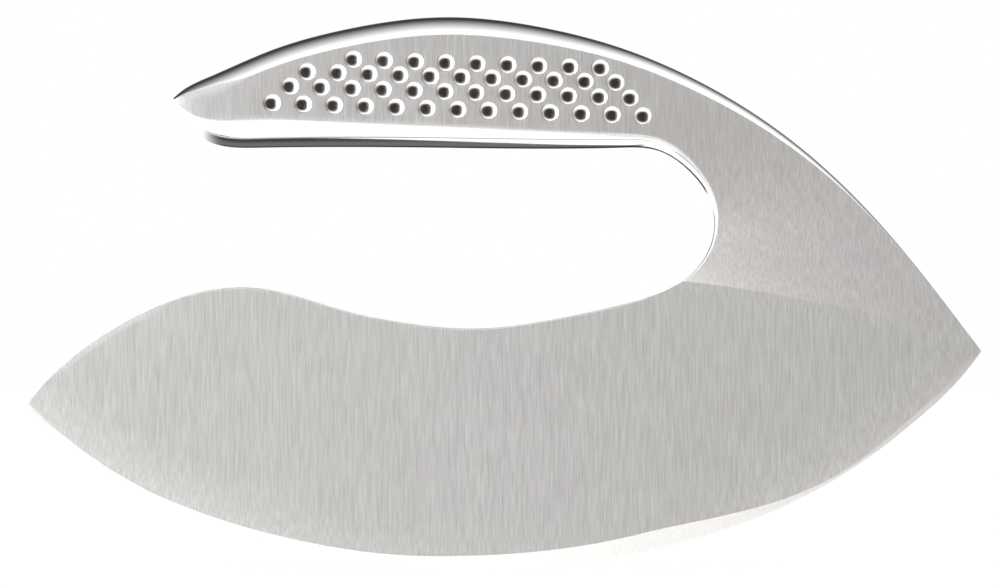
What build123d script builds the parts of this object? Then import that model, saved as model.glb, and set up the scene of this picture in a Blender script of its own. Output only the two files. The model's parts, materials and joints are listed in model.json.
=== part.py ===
"""One-handed mezzaluna: a rocking blade whose hollow steel handle bends round over it in a C.

Frame: X runs along the blade, Y across it, Z up, with the cutting edge down. The origin is under the middle of
the object at the lowest point of the edge, and the mid-plane y = 0 is a plane of symmetry.
"""

from build123d import *
import math
import os

os.makedirs("parts", exist_ok=True)

# Driving sizes, in millimetres
blade_length = 190.0  # tip to tip
blade_depth = 48.0  # lowest point of the edge to the lowest point of the blade's back
finger_gap = 36.0  # free height between the blade's back and the grip
grip_depth = 26.0  # height of the grip at its middle
grip_thickness = 14.8  # across the grip's flats, at their widest
shell_wall = 1.2  # sheet that the handle's halves are stamped from
seam_width = 0.8  # weld between the two halves, across the object

# Blade
blade_thickness = 2.5
edge_land = 0.1  # what is left at the very edge
bevel_height = 1.1  # the cutting bevel
bevel_thickness = 0.7  # blade at the top of the cutting bevel
lower_grind_height = 4.0  # the steeper part of the rounded grind, from the edge
lower_grind_thickness = 1.5  # blade at the top of that part
grind_height = 12.0  # how far the ground faces climb from the edge
back_bevel = 0.35  # bevel that breaks the back's edges
tang_margin = 4.5  # between the tang and the neck's edges
tang_round = 3.0  # corners of the tang
overrun = 5.0  # how far a cutting body runs past what it cuts

# Handle
crown_depth = 3.75  # the rounded band along the spine, at its deepest
roll_depth = 7.2  # the rounded underside of the grip, at its deepest
weld_width = 4.0  # the ground weld on the blade, below the joint
weld_seat = 0.3  # depth of the rebate in the blade that the weld fills
weld_hollow = 0.1  # how far the ground weld lies below the blade's face where it meets the neck
fill_clearance = 0.15  # between the sand and the shells

# Dimples
dimple_width = 3.4
dimple_depth = 0.55
dimple_pitch = 6.13
dimple_inset = 19.8  # from the butt's nose to the first dimple of the lowest row
dimple_rise = 8.75  # from the grip's underside to that dimple
dimple_field_height = 9.2  # lowest row to highest
dimple_slope = 1.98  # degrees by which the rows fall towards the neck
dimple_row_counts = (13, 12, 11, 9)  # from the underside up
dimple_row_shift_shares = (0.0, 0.58, 1.12, 2.62)  # of the pitch
dimple_row_rise_shares = (0.0, 0.375, 0.7, 1.0)  # of the field's height
dimple_sides = 8  # facets round each dimple
dimple_ring_share = 0.53  # of the dimple's radius, where its steep rim meets its shallow floor
dimple_ring_depth_share = 0.74  # of its depth, at that ring

# Levels
belly_level = blade_depth
underside_level = belly_level + finger_gap
top_level = underside_level + grip_depth

# Outlines in the side view. X is a share of the blade's length, from its middle. Z is a share of the blade's depth
# on the edge and the back, of the finger gap above the belly on the handle's inner side, and of the height from the
# right tip to the top on the spine.
tip_share = 0.5
left_tip_rise_share = 0.6835
right_tip_rise_share = 0.9066
edge_shares = (
    (-tip_share, left_tip_rise_share),
    (-0.4654, 0.5539),
    (-0.4025, 0.3784),
    (-0.3187, 0.2145),
    (-0.2138, 0.083),
    (-0.1216, 0.0158),
    (-0.0294, 0.0),
    (0.0797, 0.027),
    (0.1845, 0.11),
    (0.2893, 0.2552),
    (0.3732, 0.4398),
    (0.4361, 0.6328),
    (0.4767, 0.7863),
    (tip_share, right_tip_rise_share),
)
back_shares = (
    (-tip_share, left_tip_rise_share),
    (-0.4654, 0.834),
    (-0.4235, 0.9626),
    (-0.3711, 1.0775),
    (-0.3187, 1.1502),
    (-0.2746, 1.1701),
    (-0.2254, 1.1427),
    (-0.1719, 1.0796),
    (-0.109, 1.0257),
    (-0.0252, 1.0),
    (0.0482, 1.0352),
    (0.1216, 1.0975),
    (0.1646, 1.1489),
)
spine_shares = (
    (-0.3465, 0.757),
    (-0.3393, 0.7756),
    (-0.3072, 0.8235),
    (-0.2432, 0.9017),
    (-0.1614, 0.9661),
    (-0.0608, 1.0),
    (0.0377, 0.9706),
    (0.1258, 0.9047),
    (0.2055, 0.8058),
    (0.2788, 0.6785),
    (0.3522, 0.5048),
    (0.4151, 0.3115),
    (0.4623, 0.1423),
    (tip_share, 0.0),
)
inner_shares = (
    (-0.3465, 1.248),
    (-0.3393, 1.1722),
    (-0.3233, 1.0726),
    (-0.2992, 1.0146),
    (-0.2558, 1.0),
    (-0.0671, 1.0),
    (0.1216, 1.0),
    (0.1613, 0.9841),
    (0.192, 0.8823),
    (0.2153, 0.7142),
    (0.2204, 0.5764),
    (0.2159, 0.4508),
    (0.2057, 0.3546),
    (0.1876, 0.2611),
)

# Sections of the handle from the butt's nose to the neck's end. Each one spans from a place on the inner outline to
# one on the spine, given as shares of those lengths, and then has its shares of half the grip's thickness, of the
# roll's depth and of the crown's depth. At the joint the neck is as thin as the hollow of the ground weld.
section_shares = (
    (0.0, 0.0, 0.068, 0.035, 0.08),
    (0.006, 0.0033, 0.22, 0.11, 0.21),
    (0.0133, 0.01, 0.4, 0.21, 0.36),
    (0.0253, 0.0187, 0.568, 0.34, 0.49),
    (0.0427, 0.028, 0.716, 0.5, 0.62),
    (0.0647, 0.0407, 0.855, 0.67, 0.75),
    (0.092, 0.058, 0.968, 0.84, 0.91),
    (0.1287, 0.0833, 1.0, 0.97, 1.0),
    (0.1767, 0.118, 1.0, 1.0, 1.0),
    (0.248, 0.1707, 0.997, 0.91, 0.995),
    (0.342, 0.2387, 0.992, 0.8, 0.99),
    (0.436, 0.3047, 0.983, 0.72, 0.98),
    (0.5313, 0.374, 0.96, 0.63, 0.93),
    (0.6267, 0.4447, 0.92, 0.52, 0.83),
    (0.6953, 0.5033, 0.875, 0.43, 0.73),
    (0.7407, 0.554, 0.83, 0.365, 0.64),
    (0.784, 0.6027, 0.775, 0.295, 0.55),
    (0.8227, 0.6533, 0.705, 0.225, 0.455),
    (0.8613, 0.7113, 0.615, 0.165, 0.35),
    (0.8993, 0.7747, 0.495, 0.12, 0.235),
    (0.934, 0.838, 0.365, 0.09, 0.145),
    (0.9687, 0.9027, 0.25, 0.07, 0.085),
)
joint_share = 0.9753  # of the spine's length, where the joint meets it
joint_roll_share = 0.055
joint_crown_share = 0.055
hollow_first, hollow_last = 3, 21  # sections between which the handle is hollow
fill_first, fill_last = 4, 19  # sections between which the sand lies
tang_section = 20  # section that the tang's end reaches
least_roll_share = 0.3  # of the outer roll, where the wall would take all of it from the inner one

# Share of an arm's length that makes a cubic follow a quarter ellipse
quarter_share = 0.5523

# Corners that stand for a rounded end of a section: shares of its depth and of half the thickness
corner_shares = ((0.0, 0.0), (0.3, 0.6), (1.0, 1.0))


def side_point(x, z):
    """A point of the mid-plane."""
    return Vector(x, 0, z)


def blade_points(shares):
    return [side_point(x * blade_length, z * blade_depth) for x, z in shares]


def spine_point(x_share, z_share):
    low = right_tip_rise_share * blade_depth
    return side_point(x_share * blade_length, low + z_share * (top_level - low))


across = Vector(0, 1, 0)
edge_curve = Edge.make_spline(blade_points(edge_shares))
spine_curve = Edge.make_spline([spine_point(x, z) for x, z in spine_shares])
inner_curve = Edge.make_spline(
    [side_point(x * blade_length, belly_level + z * finger_gap) for x, z in inner_shares]
)
joint_inner = inner_curve @ 1
joint_outer = spine_curve @ joint_share
back_curve = Edge.make_spline(blade_points(back_shares) + [joint_inner])
tip_curve = spine_curve.trim(joint_share, 1)

# The joint is a straight line across the neck's end
joint_length = (joint_outer - joint_inner).length
joint_way = (joint_outer - joint_inner).normalized()
joint_up = joint_way.cross(across)
neck_half = blade_thickness / 2 - weld_hollow


def joint_point(along, below=0):
    """A place along the joint's line from its inner end, or below it."""
    return joint_inner + joint_way * along - joint_up * below


def in_two(points):
    """The poles of a cubic's two halves."""
    a, b, c, d = points
    ab, bc, cd = (a + b) / 2, (b + c) / 2, (c + d) / 2
    abc, bcd = (ab + bc) / 2, (bc + cd) / 2
    middle = (abc + bcd) / 2
    return (a, ab, abc, middle), (middle, bcd, cd, d)


class Section:
    """One section of the handle, or of a hollow inside it."""

    def __init__(self, inner, outer, half, roll, crown):
        self.inner = inner
        self.outer = outer
        self.half = half
        self.roll = roll
        self.crown = crown

    def inset(self, edge_inset, face_inset):
        """The same section drawn in from its ends and from its flats, with a concentric crown."""
        along = (self.outer - self.inner).normalized()
        half = self.half - face_inset
        radius = (self.half**2 + self.crown**2) / (2 * self.crown) - edge_inset
        crown = radius - math.sqrt(max(radius**2 - half**2, 0))
        roll = max(self.roll - edge_inset, least_roll_share * self.roll)
        return Section(self.inner + along * edge_inset, self.outer - along * edge_inset, half, roll, crown)

    def wire(self):
        span = (self.outer - self.inner).length
        along = (self.outer - self.inner).normalized()

        def place(u, v):
            return self.inner + along * u + across * v

        flat_end = span - self.crown
        radius = (self.half**2 + self.crown**2) / (2 * self.crown)
        angle = math.atan2(self.half, radius - self.crown)
        arm = 4 / 3 * math.tan(angle / 4) * radius
        roll_out = quarter_share * self.half
        roll_in = self.roll - quarter_share * self.roll
        edges = []
        for side in (1, -1):
            v = side * self.half
            roll = (place(0, 0), place(0, side * roll_out), place(roll_in, v), place(self.roll, v))
            crown = (
                place(flat_end, v),
                place(flat_end + arm * math.sin(angle), v - side * arm * math.cos(angle)),
                place(span, side * arm),
                place(span, 0),
            )
            low, high = in_two(roll)
            pieces = (low, high, (roll[-1], crown[0]), crown)
            if side < 0:
                pieces = [poles[::-1] for poles in pieces[::-1]]
            edges += [Edge.make_bezier(*poles) for poles in pieces]
        return Wire(edges)

    def plain_wire(self):
        """The same section with straight corners, for rooms and fillings that can't be seen."""
        along = (self.outer - self.inner).normalized()
        corners = [
            self.inner + along * share * self.roll + across * width * self.half
            for share, width in corner_shares
        ]
        corners += [
            self.outer - along * share * self.crown + across * width * self.half
            for share, width in reversed(corner_shares)
        ]
        back = [Vector(p.X, -p.Y, p.Z) for p in reversed(corners[1:-1])]
        return Wire(lines(*corners, *back, corners[0]))


sections = [
    Section(
        inner_curve @ inner_share,
        spine_curve @ spine_share,
        half_share * grip_thickness / 2,
        roll_share * roll_depth,
        crown_share * crown_depth,
    )
    for inner_share, spine_share, half_share, roll_share, crown_share in section_shares
]
joint_roll = joint_roll_share * roll_depth
joint_crown = joint_crown_share * crown_depth
sections.append(Section(joint_inner, joint_outer, neck_half, joint_roll, joint_crown))


def lofted(wires):
    return Solid.make_loft(wires, ruled=True)


def run_across(wire, start, end):
    """The body that a closed outline of the mid-plane sweeps between two offsets from it."""
    return lofted([Pos(start) * wire, Pos(end) * wire])


def thick(face, half_depth):
    """A face of the mid-plane made solid, reaching as far to the front as to the back."""
    return extrude(Pos(across * -half_depth) * face, amount=2 * half_depth, dir=across)


def extruded(edges, half_depth):
    return thick(Face(Wire(edges)), half_depth)


def lines(*points):
    return [Edge.make_line(a, b) for a, b in zip(points, points[1:])]


def handle_body():
    """The handle's outer form, from the butt's nose to the joint."""
    return lofted([s.wire() for s in sections])


def hollow():
    """The room inside the stamped halves, with plain corners."""
    chosen = sections[hollow_first : hollow_last + 1]
    return lofted([s.inset(shell_wall, shell_wall).plain_wire() for s in chosen])


def tang():
    """The blade's hidden end, a rounded tongue that both shells lie on."""
    top = sections[tang_section]
    along = (top.outer - top.inner).normalized()
    corners = (
        joint_point(tang_margin, overrun),
        top.inner + along * tang_margin,
        top.outer - along * tang_margin,
        joint_point(joint_length - tang_margin, overrun),
    )
    outline = Face(Wire(lines(*corners, corners[0])))
    upper = outline.vertices().sort_by_distance((corners[1] + corners[2]) / 2)[:2]
    return thick(outline.fillet_2d(tang_round, upper), blade_thickness / 2 - weld_seat)


def slanted_cuts(outline, inward, near, far):
    """Two bodies that leave what an outline of the side view holds, less towards the blade's two faces.

    Near and far each pair how far the outline has moved inward with the distance from the mid-plane.
    """
    slope = (far[0] - near[0]) / (far[1] - near[1])
    reach = blade_thickness
    start = inward * (near[0] + slope * (reach - near[1])) - across * reach
    end = start + (across - inward * slope) * 2 * reach
    front = run_across(outline, start, end)
    return [front, mirror(front, about=Plane.XZ)]


def grind_cuts():
    """What the cutting bevel and the rounded grind above it leave, the grind in two flats, on both faces."""
    high = top_level + blade_length
    left, right = edge_curve @ 0, edge_curve @ 1
    start = left - (edge_curve % 0) * overrun
    end = right + (edge_curve % 1) * overrun
    run = lines(end, side_point(end.X, high), side_point(start.X, high), start, left)
    outline = Wire([edge_curve, Edge.make_line(right, end)] + run)
    steps = (
        (0, edge_land / 2),
        (bevel_height, bevel_thickness / 2),
        (lower_grind_height, lower_grind_thickness / 2),
        (grind_height, blade_thickness / 2),
    )
    upward = Vector(0, 0, 1)
    cuts = []
    for near, far in zip(steps, steps[1:]):
        cuts += slanted_cuts(outline, upward, near, far)
    return cuts


def back_cuts():
    """What the small bevels along the blade's back and along the right tip's upper side leave."""
    far = blade_length
    near = (0, blade_thickness / 2 - back_bevel)
    full = (back_bevel, blade_thickness / 2)
    left = back_curve @ 0
    start = left - (back_curve % 0) * overrun
    above = side_point(joint_inner.X, top_level + far)
    round_back = lines(joint_inner, above, side_point(far, above.Z), side_point(far, -far))
    round_back += lines(side_point(far, -far), side_point(start.X, -far), start, left)
    back = Wire([back_curve] + round_back)
    tip = tip_curve @ 1
    way = tip_curve % 1
    inward = across.cross(way)
    past = tip + way * overrun
    before = joint_outer - (tip_curve % 0) * far
    round_tip = lines(tip, past, past + inward * far, before + inward * far, before, joint_outer)
    front = Wire([tip_curve] + round_tip)
    return slanted_cuts(back, Vector(0, 0, -1), near, full) + slanted_cuts(front, inward, near, full)


def plate(half_depth):
    """The visible blade's side outline made solid, run down past the edge, where the grind cuts it."""
    tip = spine_curve @ 1
    left = edge_curve @ 0
    base = -overrun
    low = lines(tip, side_point(tip.X, base), side_point(left.X, base), left)
    outline = Wire([back_curve, Edge.make_line(joint_inner, joint_outer), tip_curve] + low)
    return run_across(outline, across * -half_depth, across * half_depth)


def weld_seats():
    """The rebates in both faces of the blade, from the weld's lower edge up."""
    reach = blade_length
    low, high = joint_point(-overrun, weld_width), joint_point(joint_length + overrun, weld_width)
    region = Face(Wire(lines(low, high, high + joint_up * reach, low + joint_up * reach, low)))
    return thick(region, blade_thickness) - thick(region, blade_thickness / 2 - weld_seat)


def blade_body():
    """The ground plate with its tang, its bevels and the seats of the two welds."""
    blade = plate(blade_thickness / 2)
    for cut in grind_cuts() + back_cuts():
        blade = blade & cut
    return blade + tang() - weld_seats()


def joint_weld(side):
    """The ground weld between the neck's end and one face of the blade, slightly hollow at the joint."""
    face = across * side * blade_thickness / 2
    outward = across * side
    start = joint_point(-overrun)
    corners = (
        start + face - outward * weld_seat,
        start + face - outward * weld_seat - joint_up * weld_width,
        start + face - joint_up * weld_width,
        start + face - outward * weld_hollow,
    )
    profile = Face(Wire(lines(*corners, corners[0])))
    bead = Solid.extrude(profile, joint_way * (joint_length + 2 * overrun))
    return bead & plate(grip_thickness)


def half_thickness_at(x):
    """Half the grip's thickness above a place along it, between the sections on either side."""
    known = [((s.inner.X + s.outer.X) / 2, s.half) for s in sections]
    for (x0, half0), (x1, half1) in zip(known, known[1:]):
        if x0 <= x <= x1:
            return half0 + (half1 - half0) * (x - x0) / (x1 - x0)
    return known[-1][1]


def dimple_places():
    fall = math.tan(math.radians(dimple_slope))
    start_x = sections[0].inner.X + dimple_inset
    start_z = underside_level + dimple_rise
    rows = zip(dimple_row_counts, dimple_row_shift_shares, dimple_row_rise_shares)
    places = []
    for count, shift_share, rise_share in rows:
        for step in range(count):
            run = (step + shift_share) * dimple_pitch
            places.append((start_x + run, start_z + rise_share * dimple_field_height - run * fall))
    return places


def dimple_cutter():
    """A faceted dish, pressed along +Y into a face at y = 0."""
    rim = dimple_width / 2
    ring = dimple_ring_share * rim
    ring_depth = dimple_ring_depth_share * dimple_depth
    lift = dimple_depth

    def circle(radius, y):
        angles = [2 * math.pi * i / dimple_sides for i in range(dimple_sides)]
        return [Vector(radius * math.cos(a), y, radius * math.sin(a)) for a in angles]

    def flat_face(*corners):
        return Face(Wire(lines(*corners, corners[0])))

    mouth = circle(rim + lift * (rim - ring) / ring_depth, -lift)
    floor = circle(ring, ring_depth)
    deepest = Vector(0, dimple_depth, 0)
    faces = [flat_face(*mouth)]
    for i in range(dimple_sides):
        after = (i + 1) % dimple_sides
        faces.append(flat_face(mouth[i], mouth[after], floor[after], floor[i]))
        faces.append(flat_face(floor[i], floor[after], deepest))
    return Solid(Shell(faces))


def front_half(metal):
    """The front half of the handle, with the dimples pressed into it."""
    front = Plane((0, -seam_width / 2, 0), z_dir=-across)
    half = split(metal, bisect_by=front, keep=Keep.TOP)
    cutter = dimple_cutter()
    return half - [Pos(x, -half_thickness_at(x), z) * cutter for x, z in dimple_places()]


def seam_welds(metal):
    """The weld between the halves, in two runs: along the spine, and along the inner side."""
    ring = split(metal, bisect_by=Plane((0, -seam_width / 2, 0), z_dir=across), keep=Keep.TOP)
    ring = split(ring, bisect_by=Plane((0, seam_width / 2, 0), z_dir=-across), keep=Keep.TOP)
    middles = [(s.inner + s.outer) / 2 for s in sections[::2]]
    left = side_point(middles[0].X - overrun, middles[0].Z)
    low = side_point(left.X, belly_level)
    middles = [left] + middles + [middles[-1] - joint_up * overrun]
    divider = extruded([Edge.make_spline(middles)] + lines(middles[-1], low, left), grip_thickness)
    return ring - divider, ring & divider


def sand():
    face_inset = shell_wall + dimple_depth + fill_clearance
    edge_inset = shell_wall + fill_clearance
    chosen = sections[fill_first : fill_last + 1]
    return lofted([s.inset(edge_inset, face_inset).plain_wire() for s in chosen])


if __name__ == "__main__":
    blade = blade_body()
    metal = handle_body() - hollow() - tang()
    front_shell = front_half(metal)
    back_shell = mirror(front_shell, about=Plane.XZ)
    spine_seam, grip_seam = seam_welds(metal)
    nodes = {
        "blade": blade,
        "front_shell": front_shell,
        "back_shell": back_shell,
        "front_joint_weld": joint_weld(-1),
        "back_joint_weld": joint_weld(1),
        "spine_seam_weld": spine_seam,
        "grip_seam_weld": grip_seam,
        "sand_fill": sand(),
    }
    for name, shape in nodes.items():
        export_step(shape, f"parts/{name}.step")
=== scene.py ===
"""Looks of the one-handed mezzaluna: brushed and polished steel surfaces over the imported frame, studio and camera."""

import json
import math

import bpy
import numpy as np
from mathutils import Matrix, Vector
from mathutils.geometry import delaunay_2d_cdt

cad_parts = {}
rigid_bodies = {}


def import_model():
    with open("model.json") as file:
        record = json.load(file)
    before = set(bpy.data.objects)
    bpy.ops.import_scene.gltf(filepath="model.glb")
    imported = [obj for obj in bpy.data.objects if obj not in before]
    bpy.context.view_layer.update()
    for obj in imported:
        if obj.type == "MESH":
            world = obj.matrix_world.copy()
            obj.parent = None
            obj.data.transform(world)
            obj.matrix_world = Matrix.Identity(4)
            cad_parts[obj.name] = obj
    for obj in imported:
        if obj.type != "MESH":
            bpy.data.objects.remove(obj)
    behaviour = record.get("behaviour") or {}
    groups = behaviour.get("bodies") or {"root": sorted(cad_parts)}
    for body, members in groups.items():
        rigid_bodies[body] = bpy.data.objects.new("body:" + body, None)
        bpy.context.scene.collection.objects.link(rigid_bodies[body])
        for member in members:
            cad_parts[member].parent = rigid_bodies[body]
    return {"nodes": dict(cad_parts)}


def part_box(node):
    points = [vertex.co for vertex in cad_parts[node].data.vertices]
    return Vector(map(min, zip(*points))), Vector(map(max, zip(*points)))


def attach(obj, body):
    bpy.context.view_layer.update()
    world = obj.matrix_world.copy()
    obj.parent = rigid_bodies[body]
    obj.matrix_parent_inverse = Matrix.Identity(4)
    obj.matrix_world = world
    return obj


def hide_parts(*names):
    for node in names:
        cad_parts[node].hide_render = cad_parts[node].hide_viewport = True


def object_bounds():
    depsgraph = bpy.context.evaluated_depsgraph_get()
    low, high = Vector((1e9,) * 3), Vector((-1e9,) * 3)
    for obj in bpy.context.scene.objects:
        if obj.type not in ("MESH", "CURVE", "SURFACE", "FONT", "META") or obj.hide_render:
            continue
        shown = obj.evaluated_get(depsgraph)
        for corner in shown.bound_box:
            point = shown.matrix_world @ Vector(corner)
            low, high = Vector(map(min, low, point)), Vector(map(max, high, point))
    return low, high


for leftover in list(bpy.data.objects):
    bpy.data.objects.remove(leftover)
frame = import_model()
cad_low, cad_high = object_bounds()

# Sizes from the frame, in metres
blade_low, blade_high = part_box("blade")
shell_low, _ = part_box("front_shell")
_, weld_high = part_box("spine_seam_weld")
blade_length = blade_high.x - blade_low.x
blade_half = blade_high.y
grip_half = -shell_low.y
seam_half = weld_high.y
top_level = cad_high.z
belly_level = 0.4364 * top_level  # lowest point of the blade's back
underside_level = 0.7636 * top_level  # the grip's underside
finger_gap = underside_level - belly_level
mm = top_level / 110  # the real object is 110 mm tall

# Blade
edge_half = 0.05 * mm  # half the thickness at the very edge
bevel_slope = 0.29  # of each face of the cutting bevel
bevel_least = 0.5 * mm  # how high that bevel stands at the left tip
bevel_most = 3.7 * mm  # right of the middle
bevel_tip = 1.2 * mm  # at the right tip
crescent_start, crescent_rise = -70 * mm, 98 * mm  # where it starts to widen, and how long it does
crescent_power = 0.8  # under 1, so that it widens fast at first
crescent_end, crescent_fall = 69 * mm, 40 * mm  # where it is narrow again, and how long it narrows
tip_bevel_start, tip_bevel_rise = 62 * mm, 30 * mm
bevel_polish = 0.42
bevel_polish_fade = 0.08  # of the bevel's height, above it
grind_height = 12 * mm  # how far the ground faces climb from the edge
false_height = 1.2 * mm  # the false edge along the left point
false_drop = 0.32 * mm
false_edge_share, false_edge_fade = 0.3, 0.1  # of the back's length
back_round = 0.35 * mm  # rounding of the back's edges
weld_width = 4.5 * mm  # the ground weld below the joint
weld_hollow = 0.25 * mm  # how far it lies below the blade's face at the joint
weld_thickness = 0.25 * mm
under_weld = 0.03 * mm  # how far the plate stays under the weld

# Handle
shell_wall = 1.2 * mm
wall_polish = 0.3  # of the inner wall
crown_depth = 3.75 * mm  # the rounded band along the spine, at its deepest
roll_depth = 7.2 * mm  # the rounded underside of the grip, at its deepest
least_roll_share = 0.3  # of the outer roll, where the wall would take all of it from the inner one
crease_round = 0.15 * mm  # rounding between the flat and the crown
butt_round = 2.2 * mm  # what the butt adds to it
butt_round_end, butt_round_fade = 0.1, 0.07  # of the spine's length
rounding_limit = 0.45  # of the crown's depth
seam_depth_limit = 0.4  # of the section's span
joint_bow = 0.7 * mm
bow_factor = 27 / 4  # makes the bow's curve 1 where it is highest

# Dimples
dimple_radius = 1.7 * mm
dimple_slope = 0.5  # of the dish, at its steepest
steepest_share = 0.9  # of the radius, where that is
dimple_halo = 0.3  # share of that slope which is left outside the rim
dimple_polish = 0.93
dimple_polish_fade = 0.16  # of the radius, from the outermost ring inwards
dimple_pitch = 6.13 * mm
dimple_inset = 19.8 * mm  # from the butt's nose to the first dimple of the lowest row
dimple_rise = 8.75 * mm  # from the grip's underside to that dimple
dimple_field_height = 9.2 * mm
dimple_fall = math.tan(math.radians(1.98))
dimple_row_counts = (13, 12, 11, 9)
dimple_row_shift_shares = (0.0, 0.58, 1.12, 2.62)  # of the pitch
dimple_row_rise_shares = (0.0, 0.375, 0.7, 1.0)  # of the field's height

# Outlines in the side view. X is a share of the blade's length, from its middle. Z is a share of the belly's level on
# the edge and the back, of the finger gap above the belly on the handle's inner side, and of the height from the
# right tip to the top on the spine.
right_tip_share = 0.9066
edge_shares = (
    (-0.5, 0.6835), (-0.4654, 0.5539), (-0.4025, 0.3784), (-0.3187, 0.2145), (-0.2138, 0.083), (-0.1216, 0.0158),
    (-0.0294, 0.0), (0.0797, 0.027), (0.1845, 0.11), (0.2893, 0.2552), (0.3732, 0.4398), (0.4361, 0.6328),
    (0.4767, 0.7863), (0.5, right_tip_share),
)
back_shares = (
    (-0.5, 0.6835), (-0.4654, 0.834), (-0.4235, 0.9626), (-0.3711, 1.0775), (-0.3187, 1.1502), (-0.2746, 1.1701),
    (-0.2254, 1.1427), (-0.1719, 1.0796), (-0.109, 1.0257), (-0.0252, 1.0), (0.0482, 1.0352), (0.1216, 1.0975),
    (0.1646, 1.1489),
)
spine_shares = (
    (-0.3465, 0.757), (-0.3393, 0.7756), (-0.3072, 0.8235), (-0.2432, 0.9017), (-0.1614, 0.9661), (-0.0608, 1.0),
    (0.0377, 0.9706), (0.1258, 0.9047), (0.2055, 0.8058), (0.2788, 0.6785), (0.3522, 0.5048), (0.4151, 0.3115),
    (0.4623, 0.1423), (0.5, 0.0),
)
inner_shares = (
    (-0.3465, 1.248), (-0.3393, 1.1722), (-0.3233, 1.0726), (-0.2992, 1.0146), (-0.2558, 1.0), (-0.0671, 1.0),
    (0.1216, 1.0), (0.1613, 0.9841), (0.192, 0.8823), (0.2153, 0.7142), (0.2204, 0.5764), (0.2159, 0.4508),
    (0.2057, 0.3546), (0.1876, 0.2611),
)

# Sections of the handle from the butt's nose to the joint: the shares of the inner outline's and the spine's length
# where each one stands, and its shares of half the grip's thickness, of the roll's depth and of the crown's depth
section_shares = (
    (0.0, 0.0, 0.068, 0.035, 0.08), (0.006, 0.0033, 0.22, 0.11, 0.21), (0.0133, 0.01, 0.4, 0.21, 0.36),
    (0.0253, 0.0187, 0.568, 0.34, 0.49), (0.0427, 0.028, 0.71, 0.5, 0.62), (0.0647, 0.0407, 0.83, 0.67, 0.75),
    (0.092, 0.058, 0.925, 0.84, 0.91), (0.1287, 0.0833, 0.98, 0.97, 1.0), (0.1767, 0.118, 1.0, 1.0, 1.0),
    (0.248, 0.1707, 0.997, 0.91, 0.995), (0.342, 0.2387, 0.992, 0.8, 0.99), (0.436, 0.3047, 0.983, 0.72, 0.98),
    (0.5313, 0.374, 0.96, 0.63, 0.93), (0.6267, 0.4447, 0.92, 0.52, 0.83), (0.6953, 0.5033, 0.875, 0.43, 0.73),
    (0.7407, 0.554, 0.83, 0.365, 0.64), (0.784, 0.6027, 0.775, 0.295, 0.55), (0.8227, 0.6533, 0.705, 0.225, 0.455),
    (0.8613, 0.7113, 0.615, 0.165, 0.35), (0.8993, 0.7747, 0.495, 0.12, 0.235), (0.934, 0.838, 0.365, 0.09, 0.145),
    (0.9687, 0.9027, 0.25, 0.07, 0.085), (1.0, 0.9753, 0.1351, 0.055, 0.055),
)
hollow_first, hollow_last = 3, 21  # sections between which the handle is hollow

# How finely the surfaces are divided
column_step = 1.1 * mm
butt_crowding = 4  # how much more a change of thickness counts than a run
roll_rows = 16
flat_rows = 22
rounding_rows = 6
crown_rows = 14
inner_fineness = 0.5  # of the inner wall
window_margin = 1.5  # dimple radii round the dimples
dimple_sides = 40
# Rings of each dimple, as shares of its radius, from the end of its rounded rim inwards
ring_shares = np.array([1.13, 1.1, 1.07, 1.03, 1.0, 0.97, 0.93, 0.89, 0.83, 0.76, 0.67, 0.56, 0.43, 0.29, 0.14])
ring_clearance = 0.08  # of the radius, kept by the grid's vertices
lean_step = 0.3 * mm  # over which the flat's lean is measured
blade_column_count = 230
near_tip = np.array([0.02, 0.1, 0.25, 0.45, 0.7, 1.0, 1.4, 1.8, 2.2, 2.6]) * mm  # columns
bevel_rows = np.array([0, 0.33, 0.66, 0.95, 1.0, 1.04, 1.15])  # shares of the bevel's height
bevel_top_row = 4  # the row at its full height
grind_rows = np.array([0.09, 0.19, 0.3, 0.42, 0.55, 0.69, 0.84, 1.0])  # shares of the way on to the grind's top
plate_rows = 16  # between the grind and the back's edge
near_back = np.array([0, 0.03, 0.08, 0.15, 0.24, 0.35, 0.55, 0.8, 1.2, 1.7, 2.6]) * mm  # rows below the back
steepest_edge = 3  # slope past which rows aren't spread further
seam_rows = 7
weld_columns, weld_rows = 120, 16


def smooth_values(knots, values, where):
    """Values of the smooth curve through some values at given knots, in any number of dimensions."""
    knots, values, where = np.array(knots, float), np.array(values, float), np.array(where, float)
    gaps = np.diff(knots)
    slopes = np.diff(values, axis=0) / gaps[:, None]
    count = len(knots)
    matrix = np.eye(count)
    target = np.zeros_like(values)
    target[0] = slopes[0] - gaps[0] * (slopes[1] - slopes[0]) / (gaps[0] + gaps[1])
    target[-1] = slopes[-1] + gaps[-1] * (slopes[-1] - slopes[-2]) / (gaps[-1] + gaps[-2])
    for i in range(1, count - 1):
        matrix[i, i - 1 : i + 2] = gaps[i], 2 * (gaps[i - 1] + gaps[i]), gaps[i - 1]
        target[i] = 3 * (gaps[i] * slopes[i - 1] + gaps[i - 1] * slopes[i])
    tangents = np.linalg.solve(matrix, target)
    span = np.clip(np.searchsorted(knots, where, side="right") - 1, 0, count - 2)
    width = gaps[span]
    t = ((where - knots[span]) / width)[:, None]
    width = width[:, None]
    return (
        values[span] * (1 + 2 * t) * (1 - t) ** 2
        + values[span + 1] * t**2 * (3 - 2 * t)
        + tangents[span] * width * t * (1 - t) ** 2
        + tangents[span + 1] * width * t**2 * (t - 1)
    )


def step_lengths(points):
    return np.linalg.norm(np.diff(points, axis=0), axis=1)


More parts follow.
